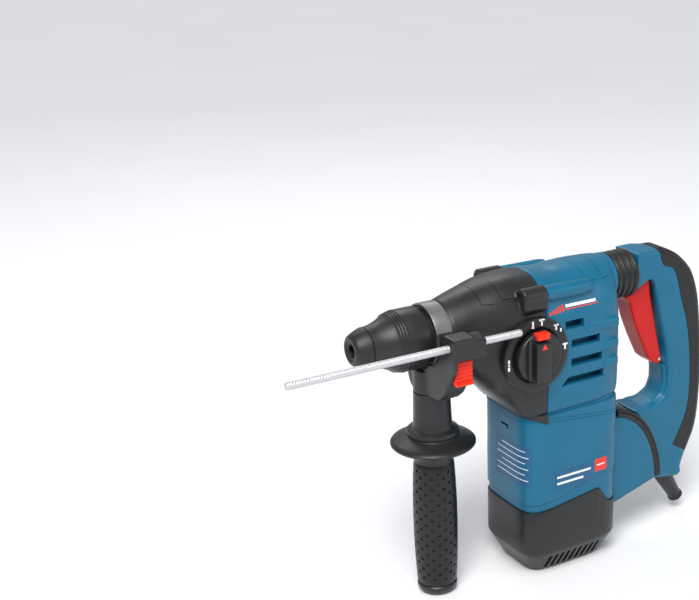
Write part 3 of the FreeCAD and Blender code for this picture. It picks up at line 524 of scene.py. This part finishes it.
bm = bmesh.new()
long, half = motor["halfLength"], motor["half"]
rings = [level(motorTop + 4, long - 3.2, half - 3.2, steps=160), level(motorTop - 0.4, long - 2.6,
                                                                       half - 2.6, steps=160),
         level(motorTop - 0.5, long - 0.5, half - 0.5, steps=160), wavyLevel("seam", 0.6, 0),
         wavyLevel("seam", 0.1, 0.5),
         wavyLevel("seam", -0.5, 0.5), wavyLevel("seam", -1.0, 0), wavyLevel("seam", -2.3, 0),
         wavyLevel("seam", -2.9, 0.7),
         wavyLevel("seam", -4.2, 0.3), level(-110, long - 0.3, half - 0.3, steps=160),
         level(-130, long, half, steps=160),
         wavyLevel("step", 1.2), wavyLevel("step", 0.2, 0.15), wavyLevel("step", -0.7, 1.1),
         wavyLevel("meeting", 1.2, 1.1),
         wavyLevel("meeting", 0.3, 1.5)]
lofted(bm, rings, False, False)
motorShell = piece("motor_case", bm, bluePlastic, "root", ["motor_housing"])
thickened(motorShell, motor["wall"])
bm = bmesh.new()
pillow(bm, [(-7.5, -99.6), (-4.5, -99.6), (-4.5, -97.8), (4.5, -97.8), (4.5, -95.6), (-7.5, -95.6)], 136,
       150, "x",
       radius=0.01, steps=1)
carved(motorShell, bm)

bm = bmesh.new()
skirtTop = level(-78.5, long + 0.9, half + 0.9, steps=160)
lofted(bm, [skirtTop, wavyLevel("skirt", 0.5, -0.9), wavyLevel("skirt", 0, -0.5),
            wavyLevel("skirt", 0, 0.6)], False, False)
geometry = list(bm.verts) + list(bm.edges) + list(bm.faces)
bmesh.ops.bisect_plane(bm, geom=geometry, plane_co=(158.1, 0, 0), plane_no=(1, 0, 0), clear_outer=True)
skirt = piece("gear_case_skirt", bm, blackPlastic, "root", ())
thickened(skirt, 0.8)

bm = bmesh.new()
rings = [wavyLevel("meeting", 0, 1.3), wavyLevel("meeting", -0.5, 0.4), wavyLevel("meeting", -1.3),
         level(-200, long, half, steps=160), level(-212, long, half, steps=160),
         level(-214.6, long - 0.6, half - 0.6, steps=160),
         level(-217, long - 1.9, half - 1.9, steps=160), level(-233.5, long - 10.6, half - 10.6, steps=160),
         level(-236.2, long - 12.6, half - 12.6, steps=160), level(capFloor, long - 14, half - 14,
                                                                   steps=160)]
lofted(bm, rings, False, True)
capShell = piece("motor_cap_shell", bm, blackPlastic, "root", ["motor_cap"])
thickened(capShell, motor["wall"])
bm = bmesh.new()
for side in (-1, 1):
    for step in range(9):
        x = motor["middle"] - 26 + 6.5 * step
        pillow(bm, [(x - 2.6, -233), (x + 0.6, -233), (x + 2.6, -219), (x - 0.6, -219)],
               *sorted((side * 24, side * 44)),
               radius=0.01, steps=1)
carved(capShell, bm)
print("motor housing made")


# on the curved seat of the rear handle, grown outwards; angle from +X
def ellipsePoint(grow, angle):
    return (241 + (50.5 + grow) * math.cos(angle), -185 + (76.5 + grow) * math.sin(angle))


bm = bmesh.new()
arc = [ellipsePoint(0, math.radians(a)) for a in range(3, 91, 5)]
footOutline = [(236, -195), (241.3, -195), (288, -182.2)] + arc + [(236, -108.6)]
pillow(bm, footOutline, -26, 26, radius=1, steps=1)
foot = piece("rear_foot", bm, bluePlastic, "root", (), 60)
melted(foot, 1.2, 10)
print("foot made")

# seal strip between the foot and the handle
bm = bmesh.new()
profile = [(-0.5, 0), (1.5, 0.2), (2.6, 1.2), (3.4, 1.2), (4.4, 0.2), (5.4, 1.2), (6.2, 1.2), (7, 0)]
rings = []
for angle in range(4, 87, 3):
    ring = []
    for side in (-1, 1):
        for grow, out in (profile if side < 0 else profile[::-1]):
            x, z = ellipsePoint(grow, math.radians(angle))
            ring.append(Vector((x, side * (24.2 + out), z)))
    rings.append(ring)
lofted(bm, rings)
piece("ribbed_seal", bm, rubberBlack, "root", ["lower_gaiter"], 40)


# rear handle

def smoothLine(points, extra=4):
    return [tuple(p) for p in eased(points, extra)]


# the outline drawn inwards, by the full amount from 15 mm behind start
def shrunk(outline, amount, start):
    area = sum(a[0] * b[1] - b[0] * a[1] for a, b in zip(outline, outline[1:] + outline[:1]))
    points = []
    for before, spot, after in zip(outline[-1:] + outline[:-1], outline, outline[1:] + outline[:1]):
        run, rise = after[0] - before[0], after[1] - before[1]
        size = math.copysign(math.hypot(run, rise) or 1, area)
        share = amount * min(max((spot[0] - start) / 15, 0), 1)
        points.append((spot[0] - rise / size * share, spot[1] + run / size * share))
    return points


handle = {"layers": [(18, 7), (15.5, 3), (11, 0)], "roundFrom": 290, "voxel": 1.2, "softening": 13}
backCurve = smoothLine([(302, 37.5), (320, 28), (336, 12), (344, -7), (348.6, -31), (352, -63),
                        (353.6, -104),
                        (350, -145), (337, -176), (331, -196)])
seatArc = [ellipsePoint(8.5, math.radians(a)) for a in range(-2, 60, 5)]
handleOutline = ([(270, 37.5), (286, 37.5)] + backCurve + [(318, -194.5), (303, -191)] + seatArc
                 + [(272, -112), (285, -112.6), (297, -110), (305, -104), (308.5, -95), (308, -84),
                    (306.6, -75)]
                 + [(305.6, -60), (300.4, -40), (295.4, -20), (290.8, 3), (287.6, 11.4), (283, 11.6),
                    (275, 7.4), (270, 4)])
splitLine = smoothLine([(291, 60), (297, 25.5), (312, 16), (321, -11), (331, -44), (336, -88), (334, -125),
                        (319, -157)], 3)
backRegion = splitLine + [(345, -176), (420, -176), (420, 60)]


# the whole handle as one moulding, softened all round
def handleBlank(name, material, nodes):
    bm = bmesh.new()
    for half, inset in handle["layers"]:
        pillow(bm, shrunk(handleOutline, inset, handle["roundFrom"]), -half, half, radius=0.8, steps=1)
    item = piece(name, bm, material, "rear_handle", nodes, 60)
    melted(item, handle["voxel"], handle["softening"])
    return item


def regionMesh(shift=0.0):
    bm = bmesh.new()
    pillow(bm, [(x + shift, z) for x, z in backRegion], -60, 60, radius=0.01, steps=1)
    return bm


handleShell = handleBlank("handle_grip", bluePlastic, ["handle_body", "switch_module"])
carved(handleShell, regionMesh(-0.25), "DIFFERENCE", 40)
bm = bmesh.new()
pillow(bm, [(262, -12), (266, 14.5), (300, 14.5), (307, -30), (309.5, -75.5), (294, -75.5)], -12.2, 12.2,
       radius=0.01, steps=1)
carved(handleShell, bm, "DIFFERENCE", 40)
backShell = handleBlank("handle_back_strip", softBlack, ["handle_back_cover"])
carved(backShell, regionMesh(0.25), "INTERSECT", 40)
print("handle made")

# trigger
bm = bmesh.new()
pillow(bm, [(260.5, -2), (270, 1.2), (284.6, 12), (288.6, 9), (289, -1), (296.8, -36), (305.4, -69.6),
            (304.4, -72.4), (302, -73.4),
            (297, -72), (290.8, -66.8), (281, -47), (272.9, -28.4), (269, -16), (267, -8)], -11.4, 11.4,
            radius=0.8, steps=1)
lever = piece("trigger_lever", bm, triggerRed, "trigger", ["trigger"], 60)
melted(lever, 0.9, 8)

# bellows between the upper housing and the handle
bm = bmesh.new()
bellows = {"start": 245.1, "end": 269.8, "folds": 4, "crest": 21.5, "root": 19.2, "inner": 17.6}
pitch = (bellows["end"] - bellows["start"]) / bellows["folds"]
profile = [(bellows["start"], bellows["inner"])]
for fold in range(bellows["folds"]):
    x = bellows["start"] + fold * pitch
    for share, radius in ((0, 0), (0.12, 0.25), (0.25, 0.8), (0.4, 1), (0.6, 1), (0.75, 0.8), (0.88, 0.25)):
        profile.append((x + share * pitch, bellows["root"] + radius * (bellows["crest"] - bellows["root"])))
profile += [(bellows["end"], bellows["root"]), (bellows["end"], bellows["inner"])]
spun(bm, profile, "x", (0, 0, 17.5), 72)
gaiter = piece("bellows", bm, rubberBlack, None, ["handle_bellows"], 60)
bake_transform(gaiter)

# strain relief
bm = bmesh.new()
boot = [(-1, 4), (-1, 9), (3, 9), (9, 8.4), (24, 7.2), (34, 6.4), (35.6, 6.6), (36.4, 7.3), (38.4, 7.5),
        (39, 7), (39, 4.4), (38.6, 4)]
spun(bm, boot, "z", (0, 0, 0), 48)
placeBoot = Matrix.Translation((319, 0, -191)) @ Matrix.Rotation(math.radians(180 - 32), 4, "Y")
piece("strain_relief", bm, rubberBlack, "rear_handle", ["cord_boot"], 40, placeBoot)
print("trigger, bellows and strain relief made")


# mode dial

bm = bmesh.new()
spun(bm, [(-38.6, 8.8), (-42, 8.8), (-42, 22), (-42.4, 22.6), (-43.2, 23), (-43.8, 24), (-44, 25),
          (-44, 30.4), (-43.4, 31.6),
          (-42.4, 32), (-38.6, 32)], "y", (dialX, 0, dialZ), 96)
piece("dial_plate", bm, glossBlack, "root", ["mode_dial_plate"])

bm = bmesh.new()
spun(bm, [(-44.4, 0), (-44.4, 21.2), (-48.6, 21.4), (-49.4, 20.8), (-49.8, 19.6), (-49.4, 17.6), (-49, 12),
          (-49, 0)], "y",
     (dialX, 0, dialZ), 72)
boxed(bm, (137.5, -55.4, dialZ - 20.4), (151.5, -46, dialZ + 13.6), 1.6, 4)
boxed(bm, (131.4, -52.2, dialZ - 17.6), (134.2, -46, dialZ + 17), 1.0, 3)
spun(bm, [(-35, 0), (-44.5, 0), (-44.5, 8), (-35, 8)], "y", (dialX, 0, dialZ), 32)
piece("mode_selector", bm, blackPlastic, "mode_knob", ["mode_knob"])

bm = bmesh.new()
boxed(bm, (138.6, -54.4, dialZ + 16.2), (150.6, -46.4, dialZ + 21.8), 1.0, 3)
piece("selector_button", bm, buttonRed, "knob_button", ["knob_release_button"])
bm = bmesh.new()
pillow(bm, [(141.5, dialZ + 8.4), (147.5, dialZ + 8.4), (144.5, dialZ + 13)], -55.6, -55.0, radius=0.15,
       steps=1)
piece("selector_pointer", bm, markRed, "mode_knob", ())


# a raised mark on the dial plate, as corners around a spot
def onDial(angle, radius, size, offset=(0, 0)):
    turn = math.radians(angle)
    x = dialX + radius * math.sin(turn) + offset[0]
    z = dialZ + radius * math.cos(turn) + offset[1]
    return (x - size[0] / 2, -44.25, z - size[1] / 2), (x + size[0] / 2, -43.9, z + size[1] / 2)


marks = [(-9, 28, (1.4, 5), (0, 0)), (9, 28, (1.4, 5), (0, 0)), (9, 28, (5, 1.4), (0, 2.4)),
         (-9, 28, (2.6, 1.4), (0, -2.6)),
         (42, 28, (1.4, 4.6), (0, 0)), (42, 28, (4.6, 1.4), (0, 2)), (48, 28, (1.4, 3), (2.6, -1)),
         (84, 28, (4.6, 1.6), (0, 1.6)),
         (84, 28, (1.6, 4), (0, -1)), (-96, 28, (1.5, 3), (0, 3)), (-96, 28, (1.5, 1.5), (0, 0)),
         (-96, 28, (1.8, 3.4), (0, -3.4))]
bm = bmesh.new()
for angle, radius, size, offset in marks:
    boxed(bm, *onDial(angle, radius, size, offset), 0)
piece("dial_marks", bm, markWhite, "root", ())
print("mode dial made")


# side handle

bm = bmesh.new()
clampOutline = [(-57, 13), (-40, 13), (-37, 3), (-33, -6), (-27, -13.4), (-20, -18), (20, -18), (26, -24),
                (18, -44),
                (14, -48), (-17, -48), (-30, -46.5), (-38, -40), (-47, -27), (-57, -12)]
pillow(bm, clampOutline, 58, 77.6, "x", radius=0.5, steps=1)
pillow(bm, [(-57, -5), (-41, -5), (-41, 11.5), (-46, 12.6), (-57, 9.4)], 60, 88, "x", radius=0.5, steps=1)
spun(bm, [(-27.4, 0), (-27.4, 15.4), (-48.4, 15.4), (-48.4, 0)], "z", (69, 0, 0), 48)
clamp = piece("side_handle_clamp", bm, blackPlastic, "aux_clamp", ["clamp_body"])
melted(clamp, 0.8, 7)
bm = bmesh.new()
spun(bm, [(50, 0), (50, 26.9), (95, 26.9), (95, 0)], "x", (0, 0, 0), 72)
spun(bm, [(50, 0), (50, 3.35), (95, 3.35), (95, 0)], "x", (0, -48, 4), 24)
boxed(bm, (61, -62, -28.2), (78, -43, -4.9), 0)
carved(clamp, bm)

bm = bmesh.new()
ribbed = [(-42.4, -6.4), (-49.6, -6)]
for rib in range(5):
    z = -7.2 - rib * 3.5
    ribbed += [(-51.6, z), (-52.4, z - 1), (-52.4, z - 2.2), (-51.4, z - 2.9)]
ribbed += [(-54.4, -26), (-53.6, -27.6), (-42.4, -27)]
pillow(bm, ribbed, 61.6, 77.4, "x", radius=0.6, steps=2)
piece("rod_release", bm, buttonRed, "rod_button", ["rod_release_button"])

rodLow, rodHigh = nodeBox("depth_rod")
rodMade = {"pitch": 2.2, "crest": rodHigh.y - (rodLow.y + rodHigh.y) / 2, "depth": 0.3}
bm = bmesh.new()
profile = [(rodLow.x, 0), (rodLow.x, rodMade["crest"] - 0.8), (rodLow.x + 0.8, rodMade["crest"] - 0.1)]
x = rodLow.x + 1.2
while x < rodHigh.x - 1.6:
    profile += [(x, rodMade["crest"] - rodMade["depth"]), (x + rodMade["pitch"] / 2, rodMade["crest"])]
    x += rodMade["pitch"]
profile += [(rodHigh.x - 0.6, rodMade["crest"] - 0.3), (rodHigh.x, rodMade["crest"] - 0.8), (rodHigh.x, 0)]
spun(bm, profile, "x", (0, (rodLow.y + rodHigh.y) / 2, (rodLow.z + rodHigh.z) / 2), 18)
piece("depth_stop", bm, rodSteel, "depth_rod", ["depth_rod"], 20)

auxX = 69
bm = bmesh.new()
neck = [(-48.6, 0), (-48.6, 14.8), (-49.2, 15.4), (-70, 16), (-79, 16.4), (-81, 17.2), (-82.4, 20.2),
        (-83.2, 21.6), (-84.2, 22),
        (-87, 22), (-88, 21.4), (-88.6, 21.8), (-90, 26), (-92, 32), (-93.4, 35.2), (-94.4, 36),
        (-95.8, 36), (-96.8, 35.2),
        (-98.2, 31), (-99.6, 26), (-101.8, 21.4), (-105, 18.4), (-109, 17.2), (-111.8, 16.9), (-112, 13),
        (-228, 13),
        (-228, 16.2), (-229, 17.2), (-231, 17.4), (-234, 16.2), (-236.4, 13), (-237, 9), (-237, 0)]
spun(bm, neck, "z", (auxX, 0, 0), 96)
piece("side_handle_core", bm, blackPlastic, "aux_grip", ["aux_handle"], 36)

gripMade = {"around": 44, "rows": 48, "inset": 0.15, "depth": 0.9}
bm = bmesh.new()
top, bottom = -112.2, -227.8
levels = [top + (bottom - top) * i / gripMade["rows"] for i in range(gripMade["rows"] + 1)]


def gripRadius(z):
    share = (z - top) / (bottom - top)
    return 17.1 + 1.9 * math.sin(math.pi * min(share * 1.02, 1)) ** 0.8


profile = [(top, 13.1)] + [(z,
                            gripRadius(z) - (0.9 if z in (top,
                                                          bottom) else 0)) for z in levels] + [(bottom,
                                                                                                13.1)]
spun(bm, profile, "z", (auxX, 0, 0), gripMade["around"])
bmesh.ops.remove_doubles(bm, verts=bm.verts, dist=0.001)
bmesh.ops.recalc_face_normals(bm, faces=bm.faces)
dimples = []
for face in bm.faces:
    middle = face.calc_center_median()
    out = math.hypot(middle.x - auxX, middle.y)
    row = round((middle.z - top) / (bottom - top) * gripMade["rows"] - 0.5)
    column = round(math.atan2(middle.y, middle.x - auxX) / (2 * math.pi) * gripMade["around"] - 0.5)
    if out > 15.5 and 1 < row < gripMade["rows"] - 2 and (row % 4, column % 4) in ((0, 0), (2, 2)):
        dimples.append(face)
bmesh.ops.inset_individual(bm, faces=dimples, thickness=gripMade["inset"], depth=-gripMade["depth"],
                           use_even_offset=True)
piece("side_handle_grip", bm, softBlack, "aux_grip", ["aux_grip"], 50)
print("side handle made")

bm = bmesh.new()
spun(bm, [(61.3, 25.3), (61.3, 26.5), (61.8, 26.8), (75.2, 26.8), (75.6, 26.4), (75.6, 25.3)], "x")
piece("steel_band", bm, bandGrey, "aux_clamp", ["clamp_band"])
bm = bmesh.new()
spun(bm, [(61.2, 26.85), (61.2, 27.8), (62, 28.4), (76.4, 28.4), (77.4, 27.8), (77.4, 26.85)], "x")
geometry = list(bm.verts) + list(bm.edges) + list(bm.faces)
cutAt = bmesh.ops.bisect_plane(bm, geom=geometry, plane_co=(0, 0, 8.6), plane_no=(0, 0, 1),
                               clear_outer=True)["geom_cut"]
bmesh.ops.holes_fill(bm, edges=[item for item in cutAt if isinstance(item, bmesh.types.BMEdge)])
piece("clamp_cheek", bm, blackPlastic, "aux_clamp", ())


# printed panels without any words

# a thin printed patch laid on a housing, seen along the axis
def printed(name, material, low, high, axis, target, lift=0.12):
    bm = bmesh.new()
    bmesh.ops.create_grid(bm, x_segments=24, y_segments=16, size=0.5)
    for vert in bm.verts:
        u, v = vert.co.x + 0.5, vert.co.y + 0.5
        across, up = low[0] + (high[0] - low[0]) * u, low[1] + (high[1] - low[1]) * v
        vert.co = Vector((across, -60, up) if axis == "y" else (120, across, up))
    bmesh.ops.scale(bm, verts=bm.verts, vec=(mm, mm, mm))
    mesh = bpy.data.meshes.new(name)
    bm.to_mesh(mesh)
    bm.free()
    mesh.materials.append(material)
    item = bpy.data.objects.new(name, mesh)
    bpy.context.scene.collection.objects.link(item)
    lay = item.modifiers.new("lay", "SHRINKWRAP")
    lay.target = target
    lay.wrap_method = "PROJECT"
    lay.wrap_mode = "ABOVE_SURFACE"
    lay.use_project_x, lay.use_project_y, lay.use_project_z = axis == "x", axis == "y", False
    lay.use_positive_direction, lay.use_negative_direction = True, False
    lay.offset = lift * mm
    settled(item)
    bm = bmesh.new()
    bm.from_mesh(item.data)
    bmesh.ops.recalc_face_normals(bm, faces=bm.faces)
    face = bm.faces[0]
    face.normal_update()
    if face.normal[0 if axis == "x" else 1] > 0:
        bmesh.ops.reverse_faces(bm, faces=bm.faces)
    bm.to_mesh(item.data)
    bm.free()
    thickened(item, 0.08)
    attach(item, "root")
    return item


frontLabel = {"low": (-35.5, -147), "high": (13, -108.5), "rows": 6, "columns": 4}
printed("front_label", panelBlue, frontLabel["low"], frontLabel["high"], "x", motorShell)
for row in range(frontLabel["rows"]):
    z = -114 - row * 5.4
    printed(f"front_label_line_{row}", markWhite, (-33 if row % 2 else -30, z),
            (9 if row % 3 else 2, z + 0.6), "x",
            motorShell, 0.22)
printed("side_plate", panelBlue, (165.6, -153), (206, -135), "y", motorShell)
for row, end in enumerate((204, 196)):
    printed(f"side_plate_line_{row}", markWhite, (168, -142 - row * 6), (end, -140 - row * 6), "y",
            motorShell, 0.22)
printed("side_block", markRed, (208.6, -146), (222, -134), "y", motorShell)
printed("side_block_line", markWhite, (211, -140.6), (219.6, -139.4), "y", motorShell, 0.22)
for step in range(5):
    printed(f"stripe_{step}", markRed, (161 + step * 3.2, 8 + step * 0.3), (163 + step * 3.2, 11 + step),
            "y", upperShell)
printed("stripe_line", markRed, (176, 10.2), (211, 11), "y", upperShell)
printed("stripe_bar", markWhite, (178, 12), (209, 14.4), "y", upperShell)
print("printed panels made")


# stage and light

bm = bmesh.new()
bmesh.ops.create_grid(bm, x_segments=2, y_segments=2, size=30000)
bmesh.ops.translate(bm, verts=bm.verts, vec=(0, 0, cadBox[0].z / mm))
floor = piece("floor", bm, finish("pale_floor", (0.86, 0.86, 0.87), 0.75, grain=(300, 0.02),
                                  patch=(3, 0.03), tone=0.01), None)

world = bpy.data.worlds.new("studio")
bpy.context.scene.world = world
world.use_nodes = True
world.node_tree.nodes["Background"].inputs["Color"].default_value = (0.95, 0.97, 1, 1)
world.node_tree.nodes["Background"].inputs["Strength"].default_value = 0.42
sunData = bpy.data.lights.new("sky_panel", "SUN")
sunData.energy = 1.6
sunData.angle = math.radians(35)
sun = bpy.data.objects.new("sky_panel", sunData)
bpy.context.scene.collection.objects.link(sun)
sun.rotation_euler = Vector((0.35, 0.45, -1)).to_track_quat("-Z", "Y").to_euler()


def areaLight(name, at, towards, size, power):
    data = bpy.data.lights.new(name, "AREA")
    data.shape = "RECTANGLE"
    data.size, data.size_y = size
    data.energy = power
    item = bpy.data.objects.new(name, data)
    bpy.context.scene.collection.objects.link(item)
    item.location = at
    item.rotation_euler = (Vector(towards) - Vector(at)).to_track_quat("-Z", "Y").to_euler()


areaLight("key_light", (-0.7, -0.9, 1.3), (0.16, 0, -0.05), (0.7, 0.7), 19)
areaLight("fill_light", (1.3, -1.3, 0.5), (0.16, 0, -0.1), (1.0, 0.6), 4)
areaLight("rim_light", (0.5, 1.3, 1.1), (0.16, 0, 0), (1.0, 0.5), 6)
print("stage made")
